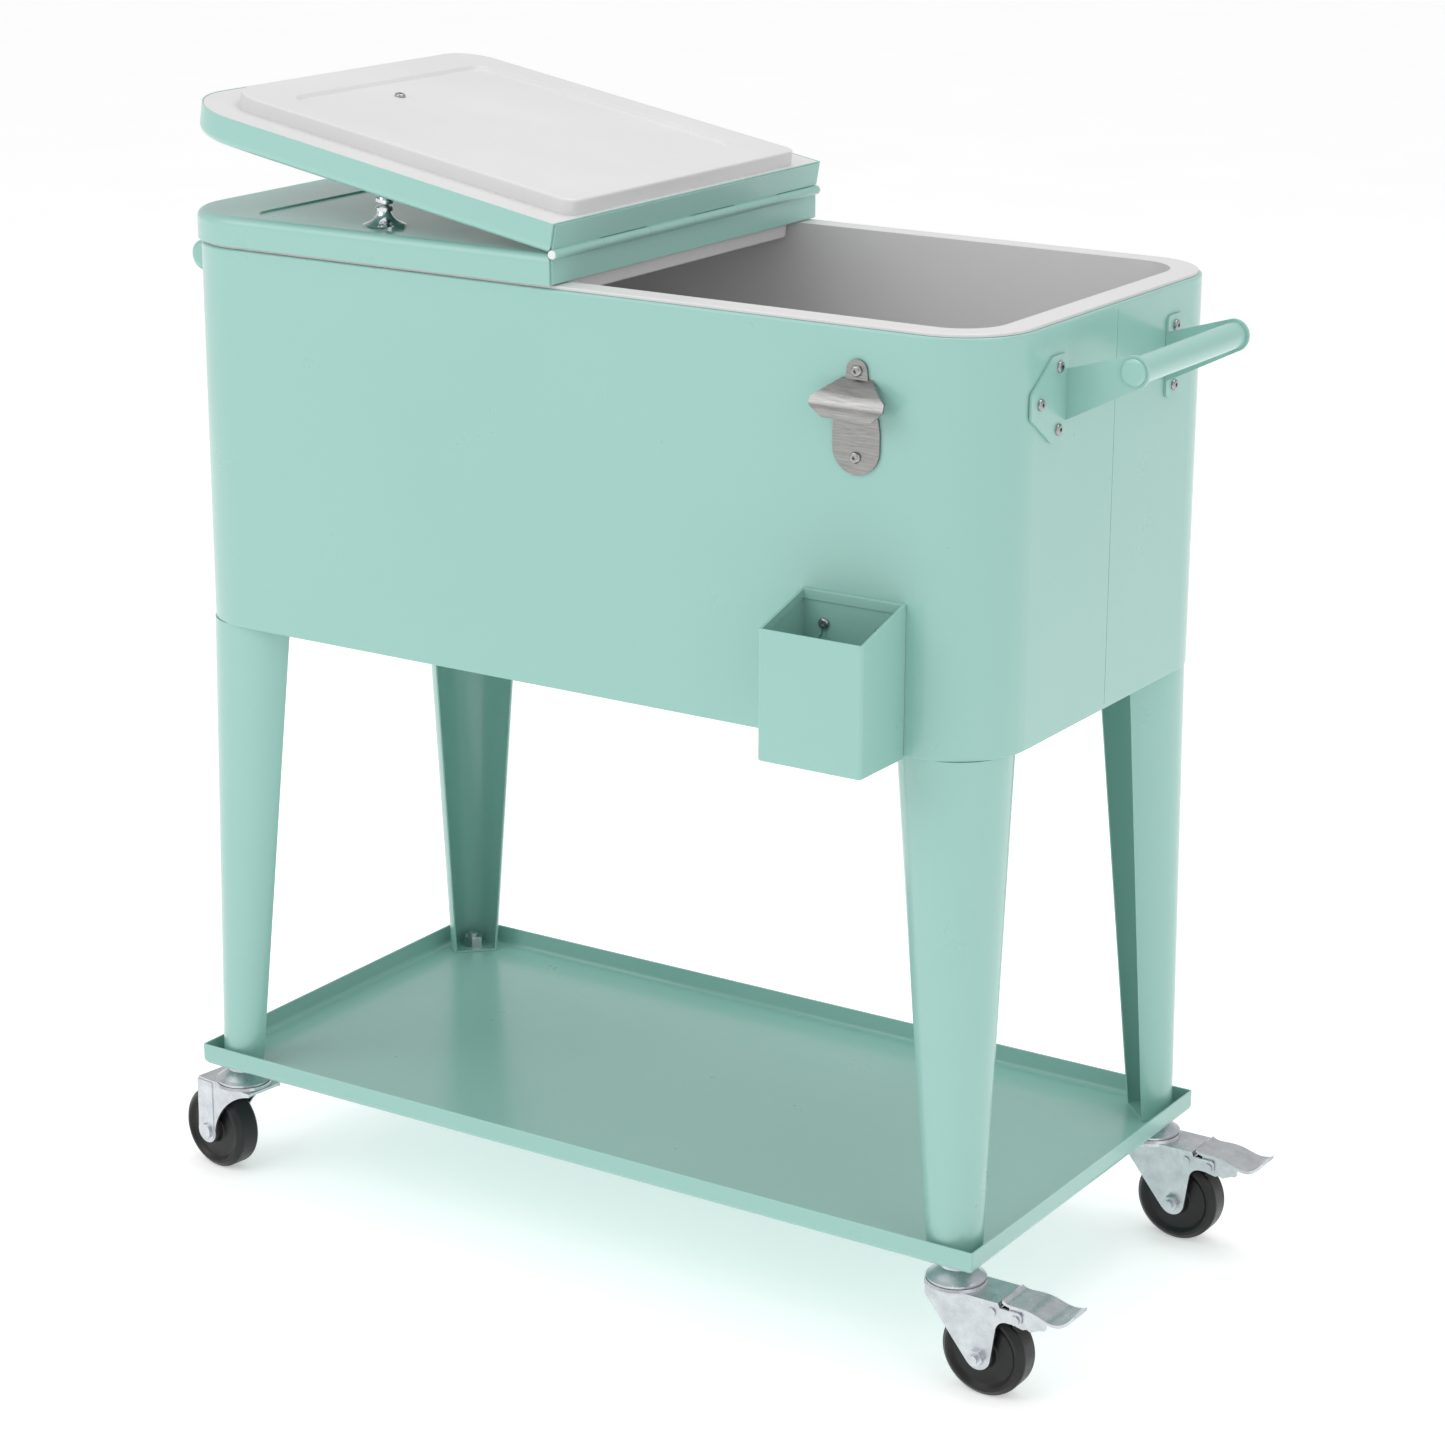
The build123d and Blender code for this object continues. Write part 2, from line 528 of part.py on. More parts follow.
def lid_liner(side, lid):
    rim_top = -LID_H + 2.7
    floor = -LID_H - PLUG_H
    with BuildPart() as liner:
        with BuildSketch(lid.offset(-LID_H + 0.2)):
            add(lid_outline(SHEET + GAP, LID_START + SHEET + GAP))
        extrude(amount=2.5)
        with BuildSketch(lid.offset(-LID_H + 0.2)):
            add(lid_outline(PLUG_INSET, 7.0, 12.0))
        extrude(amount=-PLUG_H, taper=4)
        fillet(across(lid, liner.edges())[0], radius=2.0)
        # the plug's face is sunken inside a broad border
        with BuildSketch(lid.offset(floor + 3.0)):
            with Locations((185.5, 0)):
                RectangleRounded(271, 2 * (LID_HALF_W - PLUG_INSET - 36), 16)
        extrude(amount=-6.0, taper=-45, mode=Mode.SUBTRACT)
        # hollow behind, for the foam
        with BuildSketch(lid.offset(rim_top)):
            add(lid_outline(PLUG_INSET + 4.0, 11.0, 8.0))
        extrude(amount=-7.5, mode=Mode.SUBTRACT)
        drill(lid.offset(floor), [(LINER_SCREW_X, LINER_SCREW_Y * front_sign(lid))],
              SCREW_R + 0.1, 12)
    save(liner, f"{side}_lid_liner")


def lid_foam(side, lid):
    rim_top = -LID_H + 2.7
    with BuildPart() as foam:
        with BuildSketch(lid.offset(rim_top + GAP)):
            add(lid_outline(8.0, 10.0))
        extrude(amount=-rim_top - 3.4)
        with BuildSketch(lid.offset(rim_top + GAP)):
            add(lid_outline(PLUG_INSET + 4.5, 11.5, 8.0))
        extrude(amount=-7.2)
        drill(lid, [knob_point(lid)], SCREW_R + 3, 12)
        drill(lid.offset(rim_top), [(LINER_SCREW_X, LINER_SCREW_Y * front_sign(lid))],
              SCREW_R + 1, 12)
    save(foam, f"{side}_lid_foam")


def lid_liner_screw(side, lid):
    point = (LINER_SCREW_X, LINER_SCREW_Y * front_sign(lid))
    below = Plane(origin=lid.from_local_coords((0, 0, -LID_H - PLUG_H + 3.0)), x_dir=lid.x_dir,
                  z_dir=-lid.z_dir)
    button_screws(f"{side}_lid_liner_screw", below, [(point[0], -point[1])], 0.2, 9)


def lid_knob(side, lid):
    x, y = knob_point(lid)
    stand = Plane(origin=lid.from_local_coords((x, y, 0)), x_dir=lid.x_dir, z_dir=-lid.y_dir)
    foot = -1.3
    tip = KNOB_H
    with BuildPart() as knob:
        with BuildSketch(stand):
            with BuildLine():
                Polyline((0, tip), (0, foot), (17.5, foot), (17.5, foot + 2.2), (15.8, foot + 3.0))
                flare = Spline((15.8, foot + 3.0), (9.5, 5.0), (6.4, 9.0), (5.6, 11.5))
                Line(flare @ 1, (7.2, 11.9))
                Line((7.2, 11.9), (7.25, tip - 1.6))
                Spline((7.25, tip - 1.6), (5.6, tip - 0.4), (0, tip))
            make_face()
        revolve(axis=Axis(stand.origin, lid.z_dir), revolution_arc=360)
        with BuildSketch(lid.offset(foot)) as shank:
            with Locations((x, y)):
                Circle(SCREW_R)
        extrude(shank.sketch, amount=-8.0)
    save(knob, f"{side}_lid_knob")


def knuckle_spans(first):
    """Every second stretch of the hinge line, with a small gap at each end."""
    pitch = 2 * KNUCKLE_HALF_SPAN / KNUCKLES
    starts = [-KNUCKLE_HALF_SPAN + i * pitch for i in range(first, KNUCKLES, 2)]
    return [(start + 0.2, start + pitch - 0.2) for start in starts]


def hinge_tube(spans, radius, mode):
    """Cylinders along the hinge line over the given stretches of Y."""
    for low, high in spans:
        with BuildSketch(Plane(origin=(0, low, HINGE_Z), x_dir=(1, 0, 0), z_dir=(0, 1, 0))) as ring:
            Circle(radius)
        extrude(ring.sketch, amount=high - low, mode=mode)


def hinge_leaf(side, lid, own, other):
    with BuildPart() as leaf:
        with BuildSketch(lid.offset(-LID_H + 1.0)):
            with Locations((1.2, 0)):
                Rectangle(1.2, 2 * KNUCKLE_HALF_SPAN)
        extrude(amount=LID_H - 1.0)
        cleared = [(low - 0.4, high + 0.4) for low, high in other]
        hinge_tube(cleared, KNUCKLE_R + 0.5, Mode.SUBTRACT)
        hinge_tube(own, KNUCKLE_R, Mode.ADD)
        hinge_tube([(-LID_HALF_W, LID_HALF_W)], PIN_R + RUN, Mode.SUBTRACT)
    save(leaf, f"{side}_hinge_leaf")


def hinge_pin():
    line = Plane(origin=(0, -KNUCKLE_HALF_SPAN - 0.3, HINGE_Z), x_dir=(1, 0, 0), z_dir=(0, 1, 0))
    with BuildPart() as pin:
        with BuildSketch(line):
            Circle(PIN_R)
        extrude(amount=2 * KNUCKLE_HALF_SPAN + 0.6)
        for y, way in ((-KNUCKLE_HALF_SPAN - 0.3, -1), (KNUCKLE_HALF_SPAN + 0.3, 1)):
            with BuildSketch(Plane(origin=(0, y, HINGE_Z), x_dir=(1, 0, 0), z_dir=(0, way, 0))) as cap:
                Circle(3.6)
            extrude(cap.sketch, amount=2.0)
        fillet(pin.edges().group_by(Axis.Y)[0] + pin.edges().group_by(Axis.Y)[-1], radius=1.2)
    save(pin, "hinge_pin")


# each lid's frame stands on the hinge line, X towards its free end and Z through its top
FOLDED = radians(LID_TILT)
LIDS = {
    "left": Plane(origin=(0, 0, HINGE_Z), x_dir=(-1, 0, 0), z_dir=(0, 0, 1)),
    "right": Plane(origin=(0, 0, HINGE_Z), x_dir=(-cos(FOLDED), 0, sin(FOLDED)),
                   z_dir=(-sin(FOLDED), 0, -cos(FOLDED))),
}


# ---------------------------------------------------------------- casters
def caster_frame(name):
    """Floor level under the stem, with X along the way the wheel trails."""
    x, y = STEMS[name]
    turn = radians(TRAIL_ANGLE[name])
    return Plane(origin=(x, y, 0), x_dir=(cos(turn), sin(turn), 0), z_dir=(0, 0, 1))


def side_on(frame, offset):
    """A caster's side view, at an offset along the axle: X trails, Y is up."""
    return Plane(origin=frame.from_local_coords((0, offset, 0)), x_dir=frame.x_dir,
                 z_dir=-frame.y_dir)


def caster_stem(name, frame):
    with BuildPart() as stem:
        with BuildSketch(side_on(frame, 0)):
            with BuildLine():
                Polyline((0, 79.5), (6.5, 79.5), (6.5, 83.5), (4, 83.5), (4, RACE_TOP + 0.4),
                         (24, RACE_TOP + 0.4), (24.5, RACE_TOP + 2.4), (21.5, RACE_TOP + 4.4),
                         (13, TRAY_Z - 5), (12, TRAY_Z), (STEM_R, TRAY_Z),
                         (STEM_R, LEG_Z0 + LEG_PLATE + NUT_H + 3), (0, LEG_Z0 + LEG_PLATE + NUT_H + 3),
                         close=True)
            make_face()
        revolve(axis=Axis(frame.origin, frame.z_dir), revolution_arc=360)
        chamfer(stem.edges().group_by(Axis.Z)[-1], length=0.8)
    save(stem, f"caster_stem_{name}")


def caster_fork(name, frame, braked):
    nose, tail = (48, -18) if braked else (40, -27)
    outer = CHEEK_IN + CHEEK_SHEET
    with BuildPart() as fork:
        for way in (-1, 1):
            with BuildSketch(side_on(frame, way * (CHEEK_IN + CHEEK_SHEET / 2))):
                if braked:
                    with BuildLine():
                        FilletPolyline((-18, FORK_TOP), (48, FORK_TOP), (50, 84.5), (69, 84.5),
                                       (69, 73.5), (47.5, 73.5), (42, 35), (22, 30.5), (-18, 80),
                                       radius=[1, 1, 1, 3.5, 4, 10, 1, 1, 4], close=True)
                    make_face()
                else:
                    with BuildLine():
                        top = Line((-27, FORK_TOP), (40, FORK_TOP))
                        back = Line(top @ 1, (42, WHEEL_R))
                        foot = Line(back @ 1, (20.5, WHEEL_R))
                        web = Spline(foot @ 1, (16, 53), (3, 70), (-27, 85.5))
                        Line(web @ 1, top @ 0)
                    make_face()
                with Locations((TRAIL, WHEEL_R)):
                    Circle(11.2)
            extrude(amount=CHEEK_SHEET / 2, both=True)
            if not braked:
                # the strip over the axle is pressed out a little
                with BuildSketch(side_on(frame, way * (outer + 0.4))):
                    with Locations((TRAIL, (WHEEL_R + FORK_TOP - 2) / 2)):
                        Rectangle(19, FORK_TOP - 2 - WHEEL_R)
                    with Locations((TRAIL, WHEEL_R)):
                        Circle(9.5)
                extrude(amount=0.4, both=True)
        # the plate over the wheel and the race it turns on
        with BuildSketch(frame.offset(FORK_TOP - 2.5)):
            with Locations(((nose + tail) / 2, 0)):
                Rectangle(nose - tail, 2 * outer)
            Circle(25.5)
        extrude(amount=2.5)
        with BuildSketch(frame.offset(FORK_TOP)):
            Circle(25.5)
        extrude(amount=RACE_TOP - FORK_TOP, taper=20)
        drill(frame.offset(FORK_TOP), [(0, 0)], 4 + RUN, 6)
        drill(side_on(frame, 0), [(TRAIL, WHEEL_R)], AXLE_R + 0.04, 30)
        if braked:
            drill(side_on(frame, 0), [(PIVOT_X, PIVOT_Z), (LOCK_X, LOCK_Z)], RIVET_R + 0.04, 30)
    save(fork, f"caster_fork_{name}")


def caster_axle(name, frame, braked):
    """The wheel's bolt or rivet, with the fork's own rivets beside it."""
    outer = CHEEK_IN + CHEEK_SHEET + (0 if braked else 0.8)
    # the side view faces the front on every caster
    front = 1 if frame.y_dir.Y > 0 else -1
    with BuildPart() as axle:
        with BuildSketch(side_on(frame, 0)):
            with Locations((TRAIL, WHEEL_R)):
                Circle(AXLE_R)
        extrude(amount=outer + 0.5, both=True)
        for way in (-1, 1):
            with BuildSketch(side_on(frame, way * (outer + (2.6 if braked else 1.3)))):
                with Locations((TRAIL, WHEEL_R)):
                    if braked:
                        RegularPolygon(7.2, 6)
                    else:
                        Circle(7.0)
            extrude(amount=2.5 if braked else 1.2, both=True)
        if braked:
            with BuildSketch(side_on(frame, -front * (outer + 6.5))):
                with Locations((TRAIL, WHEEL_R)):
                    Circle(AXLE_R)
            extrude(amount=2.0, both=True)
            for x, z in ((PIVOT_X, PIVOT_Z), (LOCK_X, LOCK_Z)):
                with BuildSketch(side_on(frame, 0)):
                    with Locations((x, z)):
                        Circle(RIVET_R)
                extrude(amount=outer + 0.5, both=True)
                for way in (-1, 1):
                    with BuildSketch(side_on(frame, way * (outer + 0.8))):
                        with Locations((x, z)):
                            Circle(3.9)
                    extrude(amount=0.7, both=True)
    save(axle, f"caster_axle_{name}")


def caster_wheel(name, frame):
    hub = Plane(origin=frame.from_local_coords((TRAIL, 0, WHEEL_R)), x_dir=frame.y_dir,
                z_dir=frame.x_dir)
    bore = AXLE_R + RUN
    with BuildPart() as wheel:
        with BuildSketch(hub):
            with BuildLine():
                half = FilletPolyline((0, bore), (HUB_HALF_W, bore), (HUB_HALF_W, 11.5), (10.5, 13),
                                      (9.5, 27), (WHEEL_HALF_W, 30.5), (WHEEL_HALF_W - 0.4, 33),
                                      (8.5, WHEEL_R), (0, WHEEL_R),
                                      radius=[0.5, 0.8, 1.5, 2, 1, 1.5, 3])
                Line(half @ 0, half @ 1)
            make_face()
            mirror(about=Plane.YZ)
        revolve(axis=Axis(hub.origin, hub.x_dir), revolution_arc=360)
    save(wheel, f"caster_wheel_{name}")


def brake_lever(name, frame):
    """A pressed foot lever: a plate with an upturned tip and skirts inside the fork's nose."""
    with BuildPart() as lever:
        with BuildSketch(side_on(frame, 0)):
            with BuildLine():
                upper = Spline((51, 91.2), (54, 89.4), (64, 88.6), (80, 87.2), (94, 83.2),
                               (102, 83.8), (110.5, 90.0))
                lower = Spline((51, 88.6), (54, 87.2), (64, 86.5), (80, 85.0), (94, 80.9),
                               (103, 81.3), (111.3, 88.0))
                Line(upper @ 0, lower @ 0)
                Line(upper @ 1, lower @ 1)
            make_face()
        extrude(amount=19, both=True)
        with BuildSketch(frame.offset(70)):
            with BuildLine():
                FilletPolyline((50, -17), (88, -19), (112, -19), (112, 19), (88, 19), (50, 17),
                               radius=[1, 6, 13, 13, 6, 1], close=True)
            make_face()
        extrude(amount=25, mode=Mode.INTERSECT)
        for way in (-1, 1):
            with BuildSketch(side_on(frame, way * 15.9)):
                with BuildLine():
                    FilletPolyline((57, 87.4), (57, 74), (63, 71.6), (69.5, 70.2), (73, 71.6),
                                   (76.5, 69.8), (84, 73.4), (90, 74.2), (90, 83.2), (80, 86.2),
                                   radius=[0, 2, 2, 1.2, 1.2, 1.5, 1.5, 3, 0, 0], close=True)
                make_face()
            extrude(amount=0.7, both=True)
        drill(side_on(frame, 0), [(PIVOT_X, PIVOT_Z)], RIVET_R + RUN, 30)
    save(lever, f"brake_lever_{name}")


def brake_pad(name, frame):
    """The block under the lever that meets the tread."""
    with BuildPart() as pad:
        with BuildSketch(side_on(frame, 0)):
            with BuildLine():
                FilletPolyline((58, 83.5), (84, 81.5), (84, 76), (69, 70), (62.5, 64.5), (58, 66.5),
                               radius=[1, 1, 2, 2, 1, 1], close=True)
            make_face()
        extrude(amount=11.5, both=True)
        drill(side_on(frame, 0), [(PIVOT_X, PIVOT_Z)], RIVET_R + RUN, 30)
    save(pad, f"brake_pad_{name}")


# ---------------------------------------------------------------- build every sub-part
body_shell()
body_base_pan()
inner_tub()
foam_insulation()
for corner, stem_point in STEMS.items():
    leg(corner, stem_point)
leg_bolts()
bottom_tray()
stem_nuts()
for handle_side in SIDE:
    for handle_depth in DEPTH:
        handle_bracket(handle_side, handle_depth)
    handle_grip(handle_side)
all_screws()
bottle_opener()
cap_catcher()
drain()
for lid_side, lid_frame in LIDS.items():
    lid_shell(lid_side, lid_frame)
    lid_liner(lid_side, lid_frame)
    lid_foam(lid_side, lid_frame)
    lid_liner_screw(lid_side, lid_frame)
    lid_knob(lid_side, lid_frame)
hinge_leaf("left", LIDS["left"], knuckle_spans(1), knuckle_spans(0))
hinge_leaf("right", LIDS["right"], knuckle_spans(0), knuckle_spans(1))
hinge_pin()
for corner in STEMS:
    has_brake = corner.endswith("right")
    ground = caster_frame(corner)
    caster_stem(corner, ground)
    caster_fork(corner, ground, has_brake)
    caster_axle(corner, ground, has_brake)
    caster_wheel(corner, ground)
    if has_brake:
        brake_lever(corner, ground)
        brake_pad(corner, ground)
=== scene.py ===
import json
from math import cos, radians, sin

import bpy
from mathutils import Matrix, Vector


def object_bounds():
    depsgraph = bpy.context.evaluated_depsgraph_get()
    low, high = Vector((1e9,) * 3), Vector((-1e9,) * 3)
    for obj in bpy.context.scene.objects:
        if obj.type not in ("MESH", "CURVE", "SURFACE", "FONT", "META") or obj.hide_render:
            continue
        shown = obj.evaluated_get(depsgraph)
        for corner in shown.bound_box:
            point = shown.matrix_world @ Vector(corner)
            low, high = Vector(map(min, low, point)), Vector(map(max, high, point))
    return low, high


# A rolling patio cooler chest: the CAD nodes carry the shapes, and this script gives each one its
# finish and a fine bevel, and sets up a plain studio around them. Metres throughout.

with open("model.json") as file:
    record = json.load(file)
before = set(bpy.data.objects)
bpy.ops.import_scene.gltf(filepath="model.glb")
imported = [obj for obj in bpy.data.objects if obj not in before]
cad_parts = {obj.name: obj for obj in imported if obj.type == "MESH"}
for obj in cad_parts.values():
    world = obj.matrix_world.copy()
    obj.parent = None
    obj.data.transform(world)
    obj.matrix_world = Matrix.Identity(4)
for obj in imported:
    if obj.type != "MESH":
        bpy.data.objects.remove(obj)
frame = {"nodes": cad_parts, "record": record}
CAD_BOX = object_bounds()
NODES = frame["nodes"]
RECORD = frame["record"]
SLOTS = {part["node"]: part["material_slot"] for part in RECORD["subparts"]}
MM = 0.001

# An edge shows in the mask once the rounded and true normals' dot product falls from the first of
# these to the second.
EDGE_FLAT, EDGE_SHARP = 0.995, 0.80

# Bevel width of each slot's edges in millimetres; a slot without one stays sharp.
BEVELS = {"white_liner": 0.8, "mint_paint": 0.5, "zinc_steel": 0.3, "opener_steel": 0.4}
BEVEL_ANGLE = radians(40)

# The camera's target, measured from the middle of the object's box.
TARGET_OFFSET = Vector((0.0338, 0.0171, -0.0325))
SENSOR_WIDTH = 36.0

FLOOR_HALF = 24.0
FLOOR_GLOW = 0.40


# ---------------------------------------------------------------- shader helpers
class Shader:
    """A Principled material and short calls for wiring procedural nodes into it."""

    def __init__(self, name, **sockets):
        self.material = bpy.data.materials.new(name)
        self.material.use_nodes = True
        self.tree = self.material.node_tree
        self.bsdf = self.tree.nodes["Principled BSDF"]
        for socket, value in sockets.items():
            self.bsdf.inputs[socket.replace("_", " ")].default_value = value
        coords = self.tree.nodes.new("ShaderNodeTexCoord")
        self.coords = coords.outputs["Object"]

    def link(self, source, target):
        self.tree.links.new(source, target)
        return target

    def noise(self, scale, detail=3.0, rough=0.55, stretch=(1, 1, 1)):
        """Noise at a scale in features per metre, stretched along the object's axes."""
        mapping = self.tree.nodes.new("ShaderNodeMapping")
        mapping.inputs["Scale"].default_value = stretch
        self.link(self.coords, mapping.inputs["Vector"])
        node = self.tree.nodes.new("ShaderNodeTexNoise")
        node.inputs["Scale"].default_value = scale
        node.inputs["Detail"].default_value = detail
        node.inputs["Roughness"].default_value = rough
        self.link(mapping.outputs["Vector"], node.inputs["Vector"])
        return node.outputs["Fac"]

    def spread(self, value, low, high, start=0.3, stop=0.7):
        """Map a 0 to 1 value onto a range."""
        node = self.tree.nodes.new("ShaderNodeMapRange")
        node.inputs["From Min"].default_value = start
        node.inputs["From Max"].default_value = stop
        node.inputs["To Min"].default_value = low
        node.inputs["To Max"].default_value = high
        self.link(value, node.inputs["Value"])
        return node.outputs["Result"]

    def mix(self, factor, first, second):
        """Blend two colours, or a colour and a socket, by a factor socket."""
        node = self.tree.nodes.new("ShaderNodeMix")
        node.data_type = "RGBA"
        self.link(factor, node.inputs["Factor"])
        for slot, colour in (("A", first), ("B", second)):
            target = [s for s in node.inputs if s.name == slot and s.type == "RGBA"][0]
            if isinstance(colour, tuple):
                target.default_value = (*colour, 1.0)
            else:
                self.link(colour, target)
        return [s for s in node.outputs if s.type == "RGBA"][0]

    def multiply(self, first, second):
        """The product of two value sockets."""
        node = self.tree.nodes.new("ShaderNodeMath")
        node.operation = "MULTIPLY"
        self.link(first, node.inputs[0])
        self.link(second, node.inputs[1])
        return node.outputs[0]

    def edges(self, radius):
        """A mask that rises on sharp edges, from a rounded normal against the true one."""
        bevel = self.tree.nodes.new("ShaderNodeBevel")
        bevel.samples = 4
        bevel.inputs["Radius"].default_value = radius
        shape = self.tree.nodes.new("ShaderNodeNewGeometry")
        dot = self.tree.nodes.new("ShaderNodeVectorMath")
        dot.operation = "DOT_PRODUCT"
        self.link(bevel.outputs["Normal"], dot.inputs[0])
        self.link(shape.outputs["Normal"], dot.inputs[1])
        return self.spread(dot.outputs["Value"], 1.0, 0.0, EDGE_SHARP, EDGE_FLAT)

    def bump(self, *layers):
        """Stack bump layers, each (height socket, depth in metres)."""
        below = None
        for height, depth in layers:
            node = self.tree.nodes.new("ShaderNodeBump")
            node.inputs["Distance"].default_value = depth
            node.inputs["Strength"].default_value = 1.0
            self.link(height, node.inputs["Height"])
            if below is not None:
                self.link(below, node.inputs["Normal"])
            below = node.outputs["Normal"]
        self.link(below, self.bsdf.inputs["Normal"])

    def colour(self, value):
        self.link(value, self.bsdf.inputs["Base Color"])

    def roughness(self, value):
        self.link(value, self.bsdf.inputs["Roughness"])


# ---------------------------------------------------------------- materials
def mint_paint():
    """Powder coat: soft orange peel, cloudy tone, light edges that are partly thinned paint and partly
    a painted highlight, and a little dust haze.
    """
    s = Shader("mint_paint", Coat_Weight=0.55, Coat_Roughness=0.16, Specular_IOR_Level=0.5)
    cloud = s.noise(2.2, 4)
    tone = s.mix(s.spread(cloud, 0, 1), (0.276, 0.518, 0.462), (0.298, 0.540, 0.486))
    # The lighter edge colour is partly thinned paint and partly a painted highlight along the edges.
    edge = s.multiply(s.edges(0.0007), s.spread(s.noise(60, 4), 0.15, 0.75))
    s.colour(s.mix(edge, tone, (0.56, 0.76, 0.71)))
    haze = s.noise(14, 5, 0.6)
    s.roughness(s.spread(haze, 0.27, 0.37))
    s.bump((s.noise(260, 2), 0.00002), (s.noise(40, 2), 0.00006))
    return s.material


def white_liner():
    """Moulded white plastic with faint flow marks and a fine texture."""
    s = Shader("white_liner", Coat_Weight=0.10, Coat_Roughness=0.25)
    tone = s.mix(s.spread(s.noise(5, 4), 0, 1), (0.640, 0.635, 0.635), (0.680, 0.676, 0.676))
    edge = s.multiply(s.edges(0.0010), s.spread(s.noise(40, 3), 0.2, 0.8))
    s.colour(s.mix(edge, tone, (0.80, 0.80, 0.80)))
    s.roughness(s.spread(s.noise(22, 5), 0.30, 0.44))
    s.bump((s.noise(1400, 2), 0.00002), (s.noise(18, 2), 0.00012))
    return s.material


def foam():
    """Rigid poured foam, only seen in section."""
    s = Shader("foam", Roughness=0.9)
    s.colour(s.mix(s.spread(s.noise(30, 5), 0, 1), (0.78, 0.66, 0.36), (0.88, 0.78, 0.50)))
    s.bump((s.noise(700, 3), 0.0003))
    return s.material


def zinc_steel():
    """Bright zinc plate: cool grey, cloudy patches and fine drawing lines."""
    s = Shader("zinc_steel", Metallic=1.0)
    patches = s.noise(70, 5, 0.65)
    tone = s.mix(s.spread(patches, 0, 1), (0.50, 0.52, 0.55), (0.68, 0.70, 0.73))
    edge = s.multiply(s.edges(0.0006), s.spread(s.noise(180, 3), 0.3, 1.0))
    s.colour(s.mix(edge, tone, (0.86, 0.87, 0.89)))
    s.roughness(s.spread(s.noise(130, 5, 0.7), 0.22, 0.42))
    s.bump((s.noise(240, 3, 0.5, (1, 1, 9)), 0.00003), (s.noise(1600, 2), 0.00001))
    return s.material


def brushed(name, dark, light, rough):
    """Stainless steel with a brushed grain along X."""
    s = Shader(name, Metallic=1.0, Anisotropic=0.4)
    grain = s.noise(900, 3, 0.6, (0.06, 1, 1))
    s.colour(s.mix(s.spread(grain, 0, 1), dark, light))
    s.roughness(s.spread(s.noise(300, 4, 0.6, (0.1, 1, 1)), rough - 0.07, rough + 0.10))
    s.bump((grain, 0.000025))
    return s.material


def chrome():
    """Polished plate with the faintest smears."""
    s = Shader("knob_chrome", Metallic=1.0)
    s.colour(s.mix(s.spread(s.noise(50, 3), 0, 1), (0.74, 0.76, 0.78), (0.82, 0.83, 0.84)))
    s.roughness(s.spread(s.noise(400, 5, 0.7), 0.04, 0.13))
    s.bump((s.noise(800, 2), 0.000006))
    return s.material


def moulded(name, dark, light, rough, grain):
    """Plain moulded plastic or rubber, with scuffed edges."""
    s = Shader(name, Specular_IOR_Level=0.4)
    tone = s.mix(s.spread(s.noise(45, 5), 0, 1), dark, light)
    edge = s.multiply(s.edges(0.001), s.spread(s.noise(150, 4), 0.0, 0.5))
    s.colour(s.mix(edge, tone, tuple(min(1.0, c * 1.6 + 0.01) for c in light)))
    s.roughness(s.spread(s.noise(80, 5), rough - 0.08, rough + 0.10))
    s.bump((s.noise(grain, 3), 0.00003))
    return s.material


MATERIALS = {
    "mint_paint": mint_paint(),
    "white_liner": white_liner(),
    "foam": foam(),
    "zinc_steel": zinc_steel(),
    "screw_steel": brushed("screw_steel", (0.30, 0.30, 0.30), (0.46, 0.46, 0.46), 0.24),
    "opener_steel": brushed("opener_steel", (0.25, 0.25, 0.245), (0.40, 0.395, 0.39), 0.30),
    "knob_chrome": chrome(),
    "pin_nylon": moulded("pin_nylon", (0.70, 0.76, 0.74), (0.80, 0.85, 0.83), 0.35, 700),
    "wheel_plastic": moulded("wheel_plastic", (0.006, 0.006, 0.007), (0.012, 0.012, 0.013), 0.36, 900),
    "brake_rubber": moulded("brake_rubber", (0.010, 0.010, 0.010), (0.020, 0.020, 0.020), 0.60, 1200),
    "drain_plastic": moulded("drain_plastic", (0.62, 0.62, 0.60), (0.70, 0.70, 0.68), 0.42, 900),
    "plug_rubber": moulded("plug_rubber", (0.55, 0.55, 0.53), (0.66, 0.66, 0.64), 0.55, 1100),
}


# ---------------------------------------------------------------- CAD nodes
def finish_node(name, node):
    """Give a CAD node its slot's material and a fine rounded edge."""
    node.data.materials.clear()
    node.data.materials.append(MATERIALS[SLOTS[name]])
    width = BEVELS.get(SLOTS[name])
    if width:
        bevel = node.modifiers.new("edge", "BEVEL")
        bevel.width = width * MM
        bevel.segments = 2
        bevel.limit_method = "ANGLE"
        bevel.angle_limit = BEVEL_ANGLE
        bevel.harden_normals = True


for node_name, node_object in NODES.items():
    finish_node(node_name, node_object)


# ---------------------------------------------------------------- studio
def add_floor():
    """A pale, faintly glowing floor that reaches past the view."""
    mesh = bpy.data.meshes.new("floor")
    corners = [(x * FLOOR_HALF, y * FLOOR_HALF, 0) for x, y in ((-1, -1), (1, -1), (1, 1), (-1, 1))]
    mesh.from_pydata(corners, [], [(0, 1, 2, 3)])
    floor = bpy.data.objects.new("floor", mesh)
    bpy.context.scene.collection.objects.link(floor)
    shader = Shader("floor", Roughness=0.8, Emission_Strength=FLOOR_GLOW)
    shader.bsdf.inputs["Emission Color"].default_value = (1.0, 1.0, 1.0, 1.0)
    shader.colour(shader.mix(shader.spread(shader.noise(3, 2), 0, 1), (0.85, 0.85, 0.85),
                             (0.87, 0.87, 0.87)))
    mesh.materials.append(shader.material)


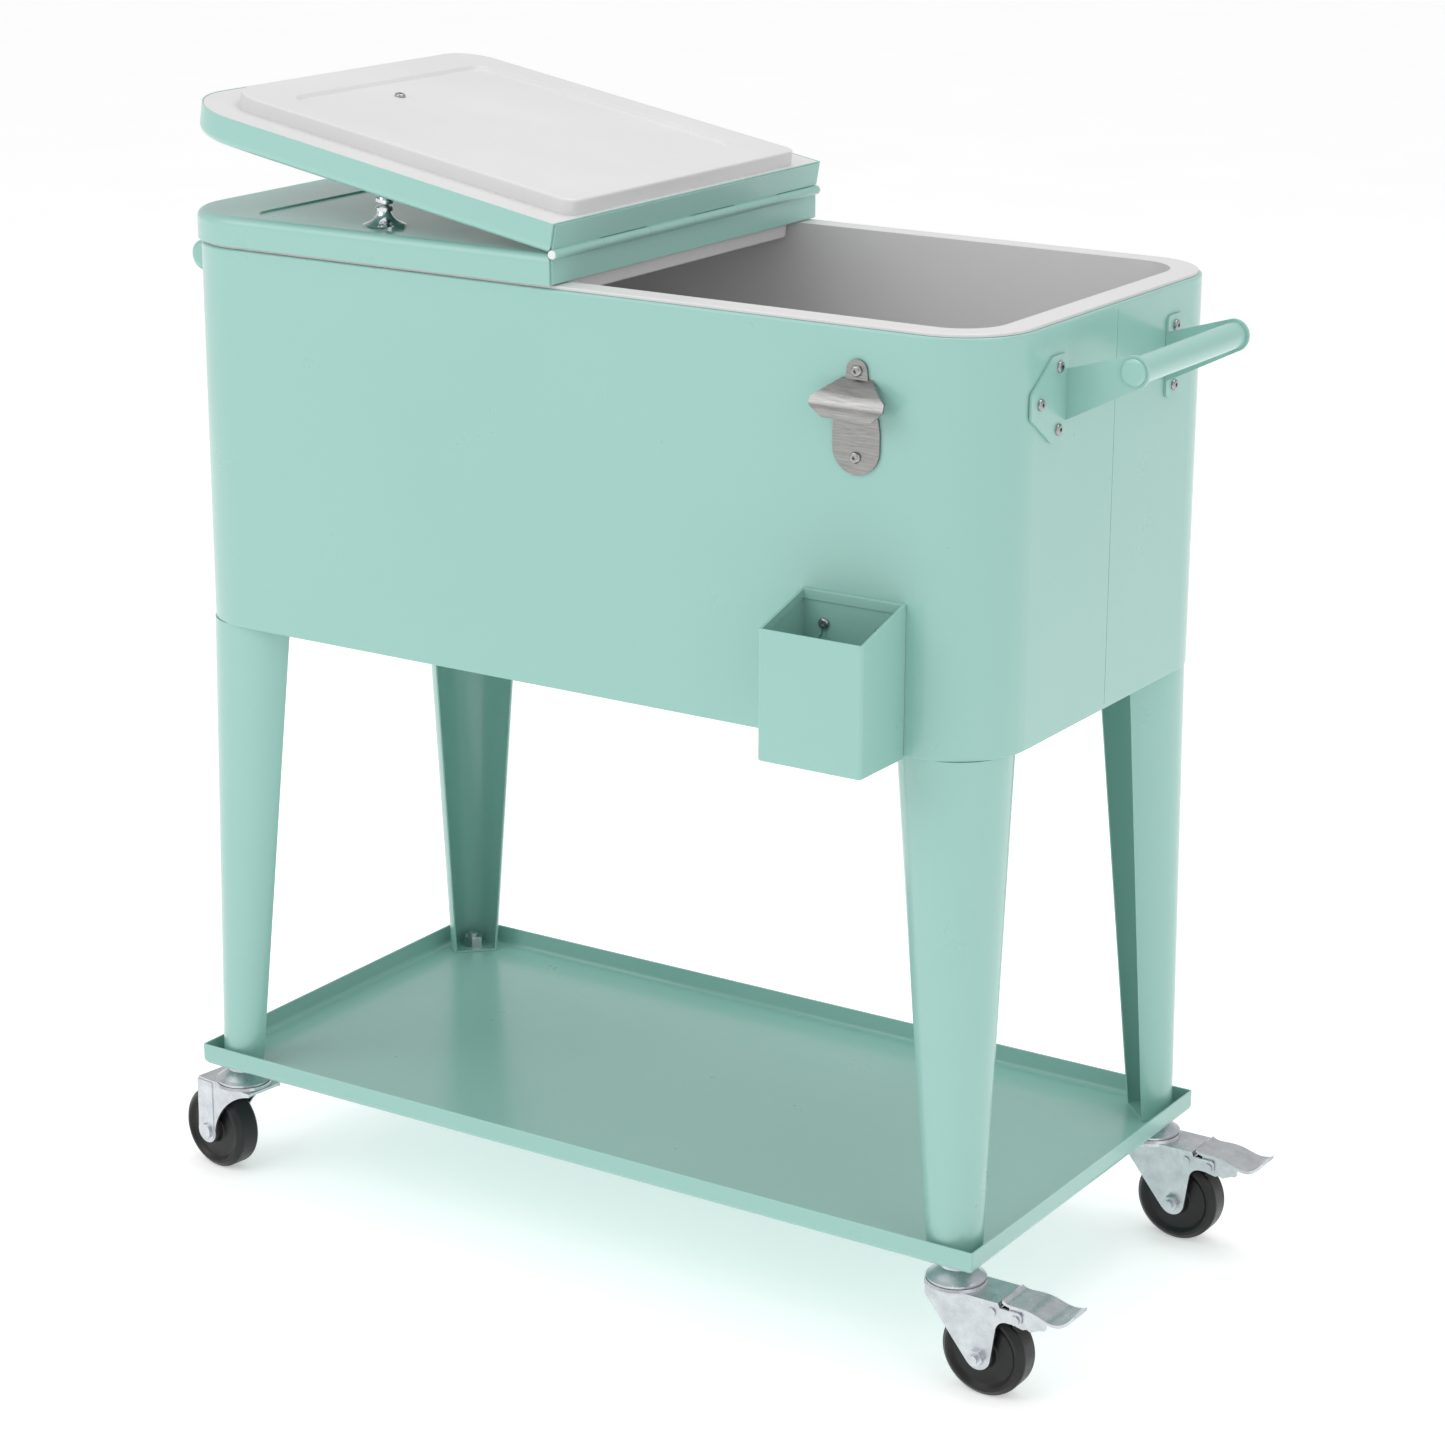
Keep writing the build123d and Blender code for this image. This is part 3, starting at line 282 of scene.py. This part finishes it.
def add_softbox(name, towards, distance, size, power):
    """A large soft light that looks at the object's centre from one direction."""
    centre = (Vector(CAD_BOX[0]) + Vector(CAD_BOX[1])) / 2
    light = bpy.data.lights.new(name, "AREA")
    light.shape = "RECTANGLE"
    light.size, light.size_y = size
    light.energy = power
    lamp = bpy.data.objects.new(name, light)
    lamp.location = centre + Vector(towards).normalized() * distance
    lamp.rotation_euler = (lamp.location - centre).to_track_quat("Z", "Y").to_euler()
    bpy.context.scene.collection.objects.link(lamp)


def add_world(strength):
    """Even white light from every side."""
    world = bpy.data.worlds.new("studio")
    world.use_nodes = True
    background = world.node_tree.nodes["Background"]
    background.inputs["Color"].default_value = (1.0, 1.0, 1.0, 1.0)
    background.inputs["Strength"].default_value = strength
    bpy.context.scene.world = world


def add_camera(azimuth, elevation, roll, distance, lens):
    """A camera that looks at a point near the object's centre, measured from its box."""
    low, high = (Vector(corner) for corner in CAD_BOX)
    target = (low + high) / 2 + TARGET_OFFSET
    az, el = radians(azimuth), radians(elevation)
    back = Vector((sin(az) * cos(el), -cos(az) * cos(el), sin(el)))
    right = Vector((cos(az), sin(az), 0))
    turn = Matrix((right, back.cross(right), back)).transposed()
    data = bpy.data.cameras.new("camera")
    data.lens = lens
    data.sensor_width = SENSOR_WIDTH
    camera = bpy.data.objects.new("camera", data)
    spin = Matrix.Rotation(radians(roll), 4, "Z")
    camera.matrix_world = Matrix.Translation(target + back * distance) @ turn.to_4x4() @ spin
    bpy.context.scene.collection.objects.link(camera)
    bpy.context.scene.camera = camera


add_floor()
add_world(strength=0.66)
add_softbox("key", (-0.5, -1.0, 0.8), distance=3.0, size=(2.6, 2.0), power=26)
add_softbox("right_fill", (1.3, -0.5, 0.6), distance=3.0, size=(1.6, 2.2), power=9)
add_softbox("top", (0.1, 0.2, 1.0), distance=2.6, size=(2.6, 1.6), power=26)
add_camera(azimuth=32.85, elevation=17.25, roll=0.21, distance=3.076, lens=90.5)
bpy.context.scene.view_settings.view_transform = "Standard"
